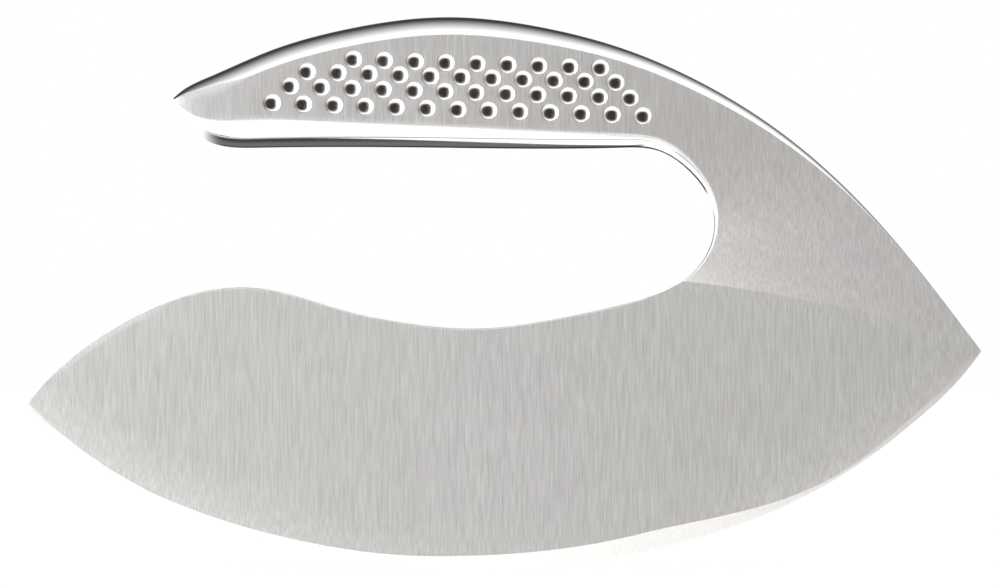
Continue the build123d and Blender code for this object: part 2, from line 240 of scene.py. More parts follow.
class Outline:
    """A smooth curve in the side view, read by shares of its length."""

    def __init__(self, points, fineness=1600):
        knots = np.concatenate([[0], np.cumsum(step_lengths(points))])
        self.points = smooth_values(knots, points, np.linspace(0, knots[-1], fineness))
        self.lengths = np.concatenate([[0], np.cumsum(step_lengths(self.points))])

    def at(self, shares):
        """Points at shares of the curve's length."""
        along = np.array(shares) * self.lengths[-1]
        return np.stack([np.interp(along, self.lengths, self.points[:, i]) for i in (0, 1)], axis=-1)


def blade_point(x, z):
    return x * blade_length, z * belly_level


def inner_point(x, z):
    return x * blade_length, belly_level + z * finger_gap


def spine_point(x, z):
    low = right_tip_share * belly_level
    return x * blade_length, low + z * (top_level - low)


edge = Outline([blade_point(x, z) for x, z in edge_shares])
spine = Outline([spine_point(x, z) for x, z in spine_shares])
inner = Outline([inner_point(x, z) for x, z in inner_shares])
joint_inner = inner.at(1.0)
joint_outer = spine.at(section_shares[-1][1])
back = Outline([blade_point(x, z) for x, z in back_shares] + [tuple(joint_inner)])


def joint_line(shares):
    """Points of the joint, a chord with a slight bow towards the handle, strongest at a third of its length."""
    shares = np.array(shares)[..., None]
    chord = joint_outer - joint_inner
    up = np.array([-chord[1], chord[0]]) / np.linalg.norm(chord)
    return joint_inner + chord * shares + up * bow_factor * joint_bow * shares * (1 - shares) ** 2


def weld_drop(below):
    """How far the ground weld lies under the blade's face at a distance below the joint."""
    return weld_hollow * np.clip(1 - below / weld_width, 0, 1) ** 2


def new_object(name, data):
    """Puts a mesh or a camera into the scene."""
    obj = bpy.data.objects.new(name, data)
    bpy.context.scene.collection.objects.link(obj)
    return obj


def make_mesh(name, points, faces, sharp_edges=(), polish=None, normals=None):
    """A mesh object with smooth faces, sharp edges between the given vertices, and each vertex's polish."""
    mesh = bpy.data.meshes.new(name)
    mesh.from_pydata([tuple(p) for p in points], [], faces)
    mesh.polygons.foreach_set("use_smooth", [True] * len(mesh.polygons))
    wanted = {tuple(sorted(pair)) for pair in sharp_edges}
    if wanted:
        sharp = mesh.attributes.new("sharp_edge", "BOOLEAN", "EDGE")
        sharp.data.foreach_set("value", [tuple(sorted(e.vertices)) in wanted for e in mesh.edges])
    shine = mesh.attributes.new("polish", "FLOAT", "POINT")
    shine.data.foreach_set("value", np.zeros(len(points)) if polish is None else np.array(polish, float))
    if normals is not None:
        mesh.normals_split_custom_set_from_vertices([tuple(n) for n in normals])
    return new_object(name, mesh)


def grid_faces(columns, rows, first=0, skip=None):
    """Quads of a grid whose vertices run column by column, seen from the side that its rows climb on."""
    faces = []
    for c in range(columns - 1):
        for r in range(rows - 1):
            if skip is None or not skip(c, r):
                a = first + c * rows + r
                faces.append((a, a + rows, a + rows + 1, a + 1))
    return faces


def end_caps(columns, rows, first=0):
    """The faces that close a grid at its first and its last column."""
    last = first + (columns - 1) * rows
    return [tuple(reversed(range(first, first + rows))), tuple(range(last, last + rows))]


def flipped(faces, shift=0):
    """Faces turned over, on vertices that lie so many places further on."""
    return [tuple(i + shift for i in reversed(f)) for f in faces]


def grid_normals(grid):
    """Normals of a grid's vertices, on the side that its rows climb on."""
    along = np.gradient(grid, axis=0)
    up = np.gradient(grid, axis=1)
    normals = np.cross(along, up).reshape(-1, 3)
    return list(normals / np.maximum(np.linalg.norm(normals, axis=1), 1e-20)[:, None])


def smooth_step(x):
    """Goes from 0 to 1 with x, level at both ends."""
    x = np.clip(x, 0, 1)
    return x * x * (3 - 2 * x)


class Handle:
    """The handle's surface as a grid: columns run from the butt's nose to the joint, rows from inner side to spine."""

    def __init__(self):
        knots = np.arange(len(section_shares))
        fine = np.linspace(0, knots[-1], 4000)
        values = self.values_at(fine)
        steps = sum(step_lengths(end) for end in self.ends(values))
        steps += butt_crowding * np.abs(np.diff(values[:, 2])) * grip_half
        along = np.concatenate([[0], np.cumsum(steps)]) / 2
        count = int(along[-1] / column_step)
        places = np.interp(np.linspace(0, along[-1], count), along, fine)
        self.places = np.sort(np.concatenate([places, [hollow_first, hollow_last]]))
        self.values = self.values_at(self.places)

    def values_at(self, places):
        values = smooth_values(np.arange(len(section_shares)), section_shares, places)
        return np.clip(values, 0, 1)

    def ends(self, values):
        return inner.at(values[:, 0]), spine.at(values[:, 1])

    def column(self, index, inset=0.0, fineness=1.0):
        """Where a column starts, its direction and span, and its rows as (distance along it, from the mid-plane)."""
        inner_share, spine_share, half_share, roll_share, crown_share = self.values[index]
        start, end = inner.at(inner_share), spine.at(spine_share)
        span = np.linalg.norm(end - start)
        half = half_share * grip_half
        crown = crown_share * crown_depth
        roll = roll_share * roll_depth
        radius = (half**2 + crown**2) / (2 * crown)
        if inset:
            half -= inset
            radius -= inset
            crown = radius - math.sqrt(max(radius**2 - half**2, 0))
            roll = max(roll - inset, least_roll_share * roll)
        low, high = inset, span - inset
        rolls, flats, crowns = (max(int(n * fineness), 3) for n in (roll_rows, flat_rows, crown_rows))
        lip = math.acos(min(seam_half / half, 0.999))
        turns = np.linspace(lip, 0, rolls, endpoint=False)
        rows = [(low + roll * (1 - math.sin(t)), half * math.cos(t)) for t in turns]
        flat_end = high - crown
        softness = crease_round + butt_round * smooth_step((butt_round_end - spine_share) / butt_round_fade)
        rounding = 0 if inset else min(softness, rounding_limit * crown)
        rows += [(u, half) for u in np.linspace(low + roll, flat_end - rounding, flats, endpoint=False)]
        first = math.atan2(half, radius - crown)
        last = math.asin(min(seam_half / radius, 1))
        if rounding:
            first -= rounding / radius
            corner = np.array([flat_end, half])
            before = corner - [rounding, 0]
            after = np.array([high - radius + radius * math.cos(first), radius * math.sin(first)])
            for t in np.linspace(0, 1, rounding_rows, endpoint=False):
                rows.append(tuple(before * (1 - t) ** 2 + 2 * corner * t * (1 - t) + after * t**2))
        for angle in np.linspace(first, last, crowns):
            rows.append((high - radius + radius * math.cos(angle), radius * math.sin(angle)))
        return start, (end - start) / span, span, rows

    def points(self, index, inset=0.0, fineness=1.0):
        start, along, span, rows = self.column(index, inset, fineness)
        straight = hollow_last - 1  # the last section that doesn't follow the joint's bow
        bend = max(self.places[index] - straight, 0) / (len(section_shares) - 1 - straight)
        result = []
        for u, v in rows:
            place = start + along * u
            if bend:
                share = np.clip(u / span, 0, 1)
                place = place + (joint_line(share) - (joint_inner + (joint_outer - joint_inner) * share)) * bend
            result.append((place[0], -v, place[1]))
        return result

    def row_polish(self):
        """How polished each row is: the roll and the crown are, the flat between them isn't."""
        roll_end = [0.8, 0.5, 0.2, 0.0, 0.0]
        roll = [1.0] * (roll_rows + 1 - len(roll_end)) + roll_end
        rounding = [0.0] * (rounding_rows - 1) + [0.3]
        crown = [0.8] + [1.0] * (crown_rows - 1)
        return roll + [0.0] * (flat_rows - 1) + rounding + crown


def dimple_centres():
    """Middles of the dimples in the side view, row by row."""
    start_x = inner_point(*inner_shares[0])[0] + dimple_inset
    start_z = underside_level + dimple_rise
    centres = []
    for count, shift, rise in zip(dimple_row_counts, dimple_row_shift_shares, dimple_row_rise_shares):
        for step in range(count):
            run = (step + shift) * dimple_pitch
            centres.append((start_x + run, start_z + rise * dimple_field_height - run * dimple_fall))
    return np.array(centres)


def dish_slope(share):
    """Slope of the dish at a share of its radius: steepest just inside the rim, and none at the centre."""
    rim = 1 - smooth_step((share - steepest_share) / (ring_shares[0] - steepest_share))
    return dimple_slope * np.minimum(share / steepest_share, 1) * np.maximum(rim, dimple_halo)


def dish_depth(share):
    """Depth of the dish at a share of its radius, from its slope."""
    steps = np.linspace(0, ring_shares[0], 400)
    filled = np.concatenate([[0], np.cumsum(dish_slope((steps[1:] + steps[:-1]) / 2) * np.diff(steps))])
    return (filled[-1] - np.interp(share, steps, filled)) * dimple_radius


def surface_y(grid, x, z):
    """Where the undimpled surface lies at places of the side view, read between the grid's rows."""
    rows = range(roll_rows - 4, roll_rows + flat_rows + 1)
    heights = np.stack([np.interp(x, grid[:, r, 0], grid[:, r, 2]) for r in rows])
    depths = np.stack([np.interp(x, grid[:, r, 0], grid[:, r, 1]) for r in rows])
    below = np.clip((heights <= z).sum(axis=0) - 1, 0, len(rows) - 2)
    each = np.arange(len(x))
    low, high = heights[below, each], heights[below + 1, each]
    t = np.clip((z - low) / (high - low), 0, 1)
    return depths[below, each] * (1 - t) + depths[below + 1, each] * t


def dimple_vertices(centres, grid):
    """Points, normals and polish of all dimples: dimple by dimple, ring by ring inwards, and round each ring."""
    turns = np.linspace(0, 2 * math.pi, dimple_sides, endpoint=False)
    side_x, side_z = np.cos(turns), np.sin(turns)
    shares = np.append(ring_shares, 0.0)
    shape = (len(centres), len(shares), dimple_sides)
    spread = dimple_radius * shares[None, :, None]
    x = (centres[:, 0, None, None] + spread * side_x).ravel()
    z = (centres[:, 1, None, None] + spread * side_z).ravel()
    depth = np.broadcast_to(dish_depth(shares)[None, :, None], shape).ravel()
    slope = np.broadcast_to(dish_slope(shares)[None, :, None], shape)
    lean_x = (surface_y(grid, x + lean_step, z) - surface_y(grid, x - lean_step, z)) / (2 * lean_step)
    lean_z = (surface_y(grid, x, z + lean_step) - surface_y(grid, x, z - lean_step)) / (2 * lean_step)
    tilt_x, tilt_z = lean_x - (slope * side_x).ravel(), lean_z - (slope * side_z).ravel()
    normals = np.stack([tilt_x, -np.ones(len(x)), tilt_z], axis=-1)
    normals /= np.linalg.norm(normals, axis=1)[:, None]
    shine = dimple_polish * np.clip((ring_shares[0] - shares) / dimple_polish_fade, 0, 1)
    polish = np.broadcast_to(shine[None, :, None], shape).ravel()
    return list(zip(x, surface_y(grid, x, z) + depth, z)), list(normals), list(polish)


def flat_faces(points, border, free, dimples, centres):
    """Triangles of the flat between the window's border, its own vertices and the dimples' outermost rings."""
    flat_ids = border + free + [int(i) for dimple in dimples for i in dimple[0]]
    order = {v: i for i, v in enumerate(flat_ids)}
    limits = [(order[a], order[b]) for a, b in zip(border, border[1:] + border[:1])]
    for dimple in dimples:
        limits += [(order[int(a)], order[int(b)]) for a, b in zip(dimple[0], np.roll(dimple[0], -1))]
    flat_places = [Vector((points[i][0] / mm, points[i][2] / mm)) for i in flat_ids]
    _, _, triangles, from_verts, _, _ = delaunay_2d_cdt(flat_places, limits, [], 1, 1e-6, True)
    faces = []
    for triangle in triangles:
        corners = [flat_ids[from_verts[i][0]] for i in triangle]
        middle = np.mean([(points[i][0], points[i][2]) for i in corners], axis=0)
        if np.min(np.hypot(*(centres - middle).T)) > dimple_radius * ring_shares[0] * 0.99:
            a, b, c = (np.array([points[i][0], points[i][2]]) for i in corners)
            turning = (b[0] - a[0]) * (c[1] - a[1]) - (b[1] - a[1]) * (c[0] - a[0])
            faces.append(tuple(corners) if turning > 0 else tuple(reversed(corners)))
    return faces


def dish_faces(dimple):
    """Quads between a dimple's rings, and the triangles round its centre."""
    faces = []
    for outer, inside in zip(dimple[:-2], dimple[1:-1]):
        for i in range(dimple_sides):
            j = (i + 1) % dimple_sides
            faces.append((int(outer[i]), int(outer[j]), int(inside[j]), int(inside[i])))
    last, centre = dimple[-2], int(dimple[-1][0])
    return faces + [(int(last[i]), int(last[(i + 1) % dimple_sides]), centre) for i in range(dimple_sides)]


def dimpled_patch(points, normals, polish, faces, grid, columns, rows):
    """Fills a window of the flat with dimples and the metal between them, joined to the grid round it."""
    centres = dimple_centres()
    (left, right), (low, high) = columns, rows

    def vertex(c, r):
        return c * grid.shape[1] + r

    border = [vertex(c, low) for c in range(left, right)]
    border += [vertex(right, r) for r in range(low, high)]
    border += [vertex(c, high) for c in range(right, left, -1)]
    border += [vertex(left, r) for r in range(high, low, -1)]
    free = []
    for c in range(left + 1, right):
        for r in range(low + 1, high):
            x, _, z = points[vertex(c, r)]
            clearance = dimple_radius * (ring_shares[0] + ring_clearance)
            if np.min(np.hypot(centres[:, 0] - x, centres[:, 1] - z)) > clearance:
                free.append(vertex(c, r))

    dimple_points, dimple_normals, dimple_shine = dimple_vertices(centres, grid)
    dimples = len(points) + np.arange(len(dimple_points)).reshape(len(centres), -1, dimple_sides)
    points += dimple_points
    normals += dimple_normals
    polish += dimple_shine
    faces += flat_faces(points, border, free, dimples, centres)
    for dimple in dimples:
        faces += dish_faces(dimple)


handle = Handle()
column_count = len(handle.places)
row_count = len(handle.points(0))


def lip_faces(hollow, start, inner_rows):
    """The lips that join the outer surface to the inner wall, and the faces that close both at their ends."""

    def outer_ends(c):
        return c * row_count, c * row_count + row_count - 1

    def inner_ends(c):
        base = start + (c - hollow[0]) * inner_rows
        return base, base + inner_rows - 1

    faces = []
    for c in range(column_count - 1):
        low, high = outer_ends(c)
        next_low, next_high = outer_ends(c + 1)
        if c in hollow and c + 1 in hollow:
            in_low, in_high = inner_ends(c)
            in_next_low, in_next_high = inner_ends(c + 1)
            faces.append((low, in_low, in_next_low, next_low))
            faces.append((in_high, high, next_high, in_next_high))
        elif c + 1 in hollow:
            in_low, in_high = inner_ends(c + 1)
            faces.append((low, high, next_high, in_high, in_low, next_low))
        elif c in hollow:
            in_low, in_high = inner_ends(c)
            faces.append((low, in_low, in_high, high, next_high, next_low))
        else:
            faces.append((low, high, next_high, next_low))
    return faces + end_caps(column_count, row_count) + flipped(end_caps(len(hollow), inner_rows, start))


def shell_mesh(name, side):
    """One half of the handle: its outer surface with the dimples, its inner wall, and the lips between them."""
    points = [p for c in range(column_count) for p in handle.points(c)]
    polish = handle.row_polish() * column_count
    grid = np.array(points).reshape(column_count, row_count, 3)
    normals = grid_normals(grid)
    centres = dimple_centres()
    first_flat = roll_rows - 2
    last_flat = roll_rows + flat_rows
    middle_row = grid[:, (first_flat + last_flat) // 2, 0]
    margin = dimple_radius * window_margin
    left = int(np.searchsorted(middle_row, centres[:, 0].min() - margin)) - 2
    right = int(np.argmax(middle_row > centres[:, 0].max() + margin)) + 2
    faces = grid_faces(
        column_count, row_count, 0, lambda c, r: left <= c < right and first_flat <= r < last_flat
    )
    dimpled_patch(points, normals, polish, faces, grid, (left, right), (first_flat, last_flat))

    hollow = [c for c in range(column_count) if hollow_first <= handle.places[c] <= hollow_last]
    start = len(points)
    for c in hollow:
        points += handle.points(c, shell_wall, inner_fineness)
    inner_rows = (len(points) - start) // len(hollow)
    polish += [wall_polish] * (len(points) - start)
    inner_grid = np.array(points[start:]).reshape(len(hollow), inner_rows, 3)
    normals += [-n for n in grid_normals(inner_grid)]
    faces += flipped(grid_faces(len(hollow), inner_rows, start))
    faces += lip_faces(hollow, start, inner_rows)
    if side > 0:
        points = [(x, -y, z) for x, y, z in points]
        normals = [(x, -y, z) for x, y, z in normals]
        faces = flipped(faces)
    return make_mesh(name, points, faces, (), polish, normals)


def seam_mesh(name, on_spine):
    """The flush weld between the two halves, along the spine or along the inner side."""
    across = np.linspace(1, -1, seam_rows)
    points = []
    for c in range(column_count):
        rows = handle.points(c)
        x, y, z = rows[-1] if on_spine else rows[0]
        start, along, span, _ = handle.column(c)
        tip = start + along * (span if on_spine else 0)
        top = np.array([tip[0] - x, tip[1] - z])
        for share in across:
            rise = 1 - share**2
            points.append((x + top[0] * rise, y * share, z + top[1] * rise))
        inward = -along if on_spine else along
        depth = min(shell_wall, seam_depth_limit * span)
        for share in (-1, 1):
            points.append((x + inward[0] * depth, y * share, z + inward[1] * depth))
    rows = seam_rows + 2
    faces = []
    for c in range(column_count - 1):
        for r in range(rows):
            a, b = c * rows + r, c * rows + (r + 1) % rows
            faces.append((a, b, b + rows, a + rows))
    faces += end_caps(column_count, rows)
    if not on_spine:
        faces = flipped(faces)
    rims = [(c * rows + r, (c + 1) * rows + r) for c in range(column_count - 1) for r in (0, seam_rows - 1)]
    return make_mesh(name, points, faces, rims, [1.0] * len(points))


def distance_to(points, line):
    """Distance of each point to the nearest place of a fine line of points, and the share where that is."""
    start, step = line[:-1], np.diff(line, axis=0)
    best = np.full(len(points), 1e9)
    share = np.zeros(len(points))
    for i in range(len(start)):
        gap = points - start[i]
        t = np.clip(gap @ step[i] / (step[i] @ step[i]), 0, 1)
        d = np.hypot(*(gap - t[:, None] * step[i]).T)
        nearer = d < best
        best[nearer] = d[nearer]
        share[nearer] = (i + t[nearer]) / len(start)
    return best, share


# The blade's outline as fine lines of points
tip_line = spine.at(np.linspace(section_shares[-1][1], 1, 60))
joint_places = joint_line(np.linspace(0, 1, 160))
edge_line = edge.at(np.linspace(0, 1, 500))
back_line = back.at(np.linspace(0, 1, 500))
upper_line = np.concatenate([back_line, joint_places[1:], tip_line[1:]])


def blade_columns():
    """X of each column, closer together at the tips, with the joint's two ends among them."""
    reach = blade_length / 2
    middle = np.linspace(-reach + 3 * mm, reach - 3 * mm, blade_column_count)
    ends = [joint_inner[0], joint_outer[0]]
    return np.sort(np.concatenate([middle, -reach + near_tip, reach - near_tip, ends]))


def bevel_height(x):
    """How high the ground bevel stands above the edge: a crescent that is highest right of the blade's middle."""
    growing = np.clip((x - crescent_start) / crescent_rise, 0, 1) ** crescent_power
    waning = smooth_step((crescent_end - x) / crescent_fall)
    crescent = (bevel_most - bevel_least) * growing * waning
    return bevel_least + crescent + (bevel_tip - bevel_least) * smooth_step((x - tip_bevel_start) / tip_bevel_rise)


def blade_half_thickness(places, from_edge):
    """Half the blade's thickness at places of the side view, from their distance to its edges."""
    from_back, back_share = distance_to(places, back_line)
    from_tip, _ = distance_to(places, tip_line)
    height = bevel_height(places[:, 0])
    bevel = edge_half + bevel_slope * from_edge
    climb = np.clip((grind_height - from_edge) / (grind_height - height), 0, 1)
    grind = blade_half - (blade_half - edge_half - bevel_slope * height) * climb**2
    half = np.where(from_edge < height, bevel, grind)
    rim = np.minimum(from_back, from_tip)
    lift = np.clip(1 - rim / back_round, 0, 1)
    rounded = blade_half - back_round * (1 - np.sqrt(1 - lift**2))
    fade = smooth_step((false_edge_share - back_share) / false_edge_fade)
    false_edge = blade_half - false_drop * fade * np.clip(1 - from_back / false_height, 0, 1)
    half = np.minimum(np.minimum(half, rounded), false_edge)
    below, _ = distance_to(places, joint_places)
    return half - weld_drop(below) - under_weld * (1 - smooth_step((below / weld_width - 0.7) / 0.25))


def blade_places(columns):
    """Places of the blade's vertices in the side view, column by column from the edge up."""
    low = np.interp(columns, edge_line[:, 0], edge_line[:, 1])
    high = np.interp(columns, upper_line[:, 0], upper_line[:, 1])
    slope_low = np.gradient(low, columns)
    slope_high = np.gradient(high, columns)
    fractions = np.linspace(0, 1, plate_rows + 2)[1:-1]
    places = []
    for x, z0, z1, s0, s1 in zip(columns, low, high, slope_low, slope_high):
        bevel = bevel_height(x) * bevel_rows
        near_edge = np.concatenate([bevel, bevel[-1] + (grind_height - bevel[-1]) * grind_rows])
        from_low = near_edge * math.hypot(1, min(abs(s0), steepest_edge))
        from_high = near_back * math.hypot(1, min(abs(s1), steepest_edge))
        shrink = min(1, 0.96 * (z1 - z0) / (from_low[-1] + from_high[-1]))
        from_low, from_high = from_low * shrink, from_high * shrink
        start, end = z0 + from_low[-1], z1 - from_high[-1]
        column = list(z0 + from_low) + list(start + (end - start) * fractions) + list(z1 - from_high[::-1])
        places += [(x, z) for z in column]
    return np.array(places)


def blade_mesh(name):
    """The ground plate: the same grid on both faces, joined round the rim."""
    columns = blade_columns()
    places = blade_places(columns)
    rows = len(places) // len(columns)
    from_edge, _ = distance_to(places, edge_line)
    half = blade_half_thickness(places, from_edge)
    points = [(x, -h, z) for (x, z), h in zip(places, half)]
    shift = len(points)
    points += [(x, h, z) for (x, z), h in zip(places, half)]
    faces = grid_faces(len(columns), rows)
    faces += flipped(faces, shift)
    rims = []
    for c in range(len(columns) - 1):
        a, b = c * rows, (c + 1) * rows
        faces.append((a, a + shift, b + shift, b))
        top_a, top_b = a + rows - 1, b + rows - 1
        faces.append((top_a, top_b, top_b + shift, top_a + shift))
        for row in (0, bevel_top_row):
            rims += [(a + row, b + row), (a + row + shift, b + row + shift)]
    last = (len(columns) - 1) * rows
    for r in range(rows - 1):
        faces.append((r, r + 1, r + 1 + shift, r + shift))
        faces.append((last + r + 1, last + r, last + r + shift, last + r + 1 + shift))
    climb = from_edge / bevel_height(places[:, 0])
    polish = bevel_polish * np.clip((1 + bevel_polish_fade - climb) / bevel_polish_fade, 0, 1)
    return make_mesh(name, points, faces, rims, list(polish) * 2)


def inside_blade(places):
    """Which places of the side view lie within the blade's outline."""
    top = np.interp(places[:, 0], upper_line[:, 0], upper_line[:, 1], left=-1, right=-1) + 0.01 * mm
    base = np.interp(places[:, 0], edge_line[:, 0], edge_line[:, 1])
    return (places[:, 1] <= top) & (places[:, 1] >= base)


def joint_mesh(name, side):
    """The ground weld on one face of the blade, from the joint down to where it meets the face."""
    count, rows = weld_columns, weld_rows
    chord = joint_outer - joint_inner
    down = np.array([chord[1], -chord[0]]) / np.linalg.norm(chord)
    fine = np.linspace(-0.2, 1.2, 7000)  # past both ends of the joint, as far as the blade may reach
    bow = joint_line(np.clip(fine, 0, 1)) - (joint_inner + chord * np.clip(fine, 0, 1)[:, None])
    line = joint_inner + chord * fine[:, None] + bow
    levels = []
    for share in np.linspace(0, 1, rows):
        places = line + down * weld_width * share
        within = places[inside_blade(places)]
        picks = np.linspace(0, len(within) - 1, count).round().astype(int)
        sunk = weld_drop(weld_width * share) + 0.5 * under_weld * smooth_step((share - 0.75) / 0.25)
        levels.append([(x, side * (blade_half - sunk), z) for x, z in within[picks]])
    points = [levels[r][c] for c in range(count) for r in range(rows)]
    shift = len(points)
    points += [(x, side * (blade_half - weld_thickness), z) for x, _, z in points]
    faces = flipped(grid_faces(count, rows))
    faces += flipped(faces, shift)
    last = (count - 1) * rows
    rim = [c * rows for c in range(count)] + [last + r for r in range(1, rows)]
    rim += [c * rows + rows - 1 for c in range(count - 2, -1, -1)] + [r for r in range(rows - 2, 0, -1)]
    rims = list(zip(rim, rim[1:] + rim[:1]))
    faces += [(b, a, a + shift, b + shift) for a, b in rims]
    if side > 0:
        faces = flipped(faces)
    return make_mesh(name, points, faces, rims)


class Nodes:
    """Short calls for building a node tree."""

    def __init__(self, tree):
        self.tree = tree
        tree.nodes.clear()

    def add(self, kind, **settings):
        node = self.tree.nodes.new(kind)
        for key, value in settings.items():
            setattr(node, key, value)
        return node

    def link(self, source, target):
        self.tree.links.new(source, target)

    def feed(self, target, value):
        """Puts a number, a colour or another node's output into an input."""
        if isinstance(value, bpy.types.NodeSocket):
            self.link(value, target)
        else:
            target.default_value = value

    def show(self, shader, kind="Material"):
        """Makes a shader the look of the material or the world."""
        self.link(shader, self.add("ShaderNodeOutput" + kind).inputs["Surface"])

    def glow(self, colour, strength=1.0):
        """Light of a colour, or of another node's output."""
        node = self.add("ShaderNodeEmission")
        self.feed(node.inputs["Color"], colour)
        node.inputs["Strength"].default_value = strength
        return node.outputs["Emission"]

    def either(self, share, a, b):
        """The first shader, the second one, or a blend of both."""
        node = self.add("ShaderNodeMixShader")
        self.feed(node.inputs["Fac"], share)
        self.link(a, node.inputs[1])
        self.link(b, node.inputs[2])
        return node.outputs["Shader"]

    def in_view(self):
        """1 for what the camera sees itself, and 0 for what is mirrored or gives light."""
        return self.add("ShaderNodeLightPath").outputs["Is Camera Ray"]

    def axes(self, coordinates="Object"):
        """The x, y and z of a place on the object, or of a direction in the world."""
        split = self.add("ShaderNodeSeparateXYZ")
        self.link(self.add("ShaderNodeTexCoord").outputs[coordinates], split.inputs["Vector"])
        return split.outputs

    def math(self, operation, a, b=0.0, clamp=False):
        node = self.add("ShaderNodeMath", operation=operation, use_clamp=clamp)
        self.feed(node.inputs[0], a)
        self.feed(node.inputs[1], b)
        return node.outputs[0]

    def times(self, a, b):
        return self.math("MULTIPLY", a, b)

    def ramp(self, value, low, high, from_value=0.0, to_value=1.0, smooth=True):
        """Runs from one value to the other while its input goes from low to high."""
        node = self.add("ShaderNodeMapRange", interpolation_type="SMOOTHSTEP" if smooth else "LINEAR")
        names = ("Value", "From Min", "From Max", "To Min", "To Max")
        for name, given in zip(names, (value, low, high, from_value, to_value)):
            self.feed(node.inputs[name], given)
        return node.outputs["Result"]

    def mix(self, share, a, b):
        """The first colour, the second one, or a blend of both."""
        node = self.add("ShaderNodeMix", data_type="RGBA")
        self.feed(node.inputs["Factor"], share)
        self.feed(node.inputs["A"], a)
        self.feed(node.inputs["B"], b)
        return node.outputs["Result"]

    def noise(self, scales, detail=2.0, roughness=0.5):
        """Noise that is stretched by a scale for each axis, in features per metre."""
        place = self.add("ShaderNodeTexCoord").outputs["Object"]
        mapping = self.add("ShaderNodeMapping")
        mapping.inputs["Scale"].default_value = scales
        self.link(place, mapping.inputs["Vector"])
        noise = self.add("ShaderNodeTexNoise")
        noise.inputs["Scale"].default_value = 1.0
        noise.inputs["Detail"].default_value = detail
        noise.inputs["Roughness"].default_value = roughness
        self.link(mapping.outputs["Vector"], noise.inputs["Vector"])
        return noise.outputs["Fac"]

    def around(self, noise, low, high, middle, reach):
        """Turns noise from low to high into numbers that lie up to a reach on either side of a middle."""
        return self.ramp(noise, low, high, middle - reach, middle + reach, smooth=False)


def rgba(colour):
    """A red, green and blue as an opaque colour."""
    return tuple(colour) + (1,)


def grey(level):
    return rgba((level,) * 3)


def new_material(name):
    """An empty material, and its node tree."""
    material = bpy.data.materials.new(name)
    material.use_nodes = True
    return material, Nodes(material.node_tree)


# Brushed steel. The scales are features per metre along x, y and z.
grain_scales, streak_scales, patch_scales = (4600, 4600, 170), (900, 900, 25), (60, 60, 40)
grain_shade, streak_shade = 0.13, 0.01  # how far they darken and brighten the steel
grain_depth = 2e-6  # metres
brushed_roughness = 0.7
grain_roughness, patch_roughness = 0.04, 0.015  # how far they change the roughness


def steel(name, colour, polished_roughness):
    """Steel with fine upright brushing on its flats, and a polish where the mesh says so."""
    material, nodes = new_material(name)
    shader = nodes.add("ShaderNodeBsdfPrincipled")
    shader.inputs["Metallic"].default_value = 1.0
    shader.inputs["Anisotropic"].default_value = 1.0
    nodes.show(shader.outputs["BSDF"])
    polish = nodes.add("ShaderNodeAttribute", attribute_name="polish").outputs["Fac"]
    plain = nodes.math("SUBTRACT", 1.0, polish, clamp=True)

    grain = nodes.noise(grain_scales)
    streaks = nodes.noise(streak_scales)
    patches = nodes.noise(patch_scales)

    shade = nodes.around(grain, 0.25, 0.75, 1.0, grain_shade)
    shade = nodes.times(shade, nodes.around(streaks, 0.25, 0.75, 1.0, streak_shade))
    shade = nodes.math("ADD", nodes.times(nodes.math("SUBTRACT", shade, 1.0), plain), 1.0)
    tone = nodes.add("ShaderNodeVectorMath", operation="SCALE")
    tone.inputs[0].default_value = colour
    nodes.link(shade, tone.inputs["Scale"])
    nodes.link(tone.outputs["Vector"], shader.inputs["Base Color"])

    rough = nodes.around(grain, 0.2, 0.8, brushed_roughness, grain_roughness)
    rough = nodes.math("ADD", rough, nodes.around(patches, 0.3, 0.7, 0.0, patch_roughness))
    worn = nodes.around(patches, 0.3, 0.7, polished_roughness, patch_roughness)
    mixed = nodes.math("ADD", nodes.times(rough, plain), nodes.times(worn, polish))
    nodes.link(mixed, shader.inputs["Roughness"])

    bump = nodes.add("ShaderNodeBump")
    bump.inputs["Distance"].default_value = grain_depth
    nodes.link(plain, bump.inputs["Strength"])
    nodes.link(grain, bump.inputs["Height"])
    nodes.link(bump.outputs["Normal"], shader.inputs["Normal"])
    across = nodes.add("ShaderNodeVectorMath", operation="CROSS_PRODUCT")
    across.inputs[0].default_value = (0.02, 0.0, 1.0)
    nodes.link(nodes.add("ShaderNodeNewGeometry").outputs["Normal"], across.inputs[1])
    nodes.link(across.outputs["Vector"], shader.inputs["Tangent"])
    return material


def sand_material():
    """Packed grains of pale sand."""
    material, nodes = new_material("sand_grains")
    shader = nodes.add("ShaderNodeBsdfPrincipled")
    nodes.show(shader.outputs["BSDF"])
    grains = nodes.noise((2500, 2500, 2500), 3.0, 0.6)
    nodes.link(nodes.mix(grains, (0.38, 0.32, 0.24, 1), (0.72, 0.66, 0.55, 1)), shader.inputs["Base Color"])
    nodes.link(nodes.ramp(grains, 0.3, 0.7, 0.8, 0.95), shader.inputs["Roughness"])
    bump = nodes.add("ShaderNodeBump")
    bump.inputs["Distance"].default_value = 0.1 * mm
    nodes.link(grains, bump.inputs["Height"])
    nodes.link(bump.outputs["Normal"], shader.inputs["Normal"])
    return material


# Light levels, where 1 renders as white
paper_white = 1.0
box_light = 1.5
left_light = (2.0, 2.02, 2.04)
right_light = (1.95, 1.78, 1.64)
end_light = (0.75, 0.74, 0.73)  # straight from the left and from the right
strip_light = 5.0
front_shade = (0.035, 0.028, 0.026)  # the dark opening in front
rear_shade = (0.06, 0.052, 0.05)
rear_spot = (0.16, 0.15, 0.145)  # straight behind
card_near, card_middle, card_far = (0.07, 0.064, 0.062), (0.2, 0.185, 0.18), (0.03, 0.026, 0.025)

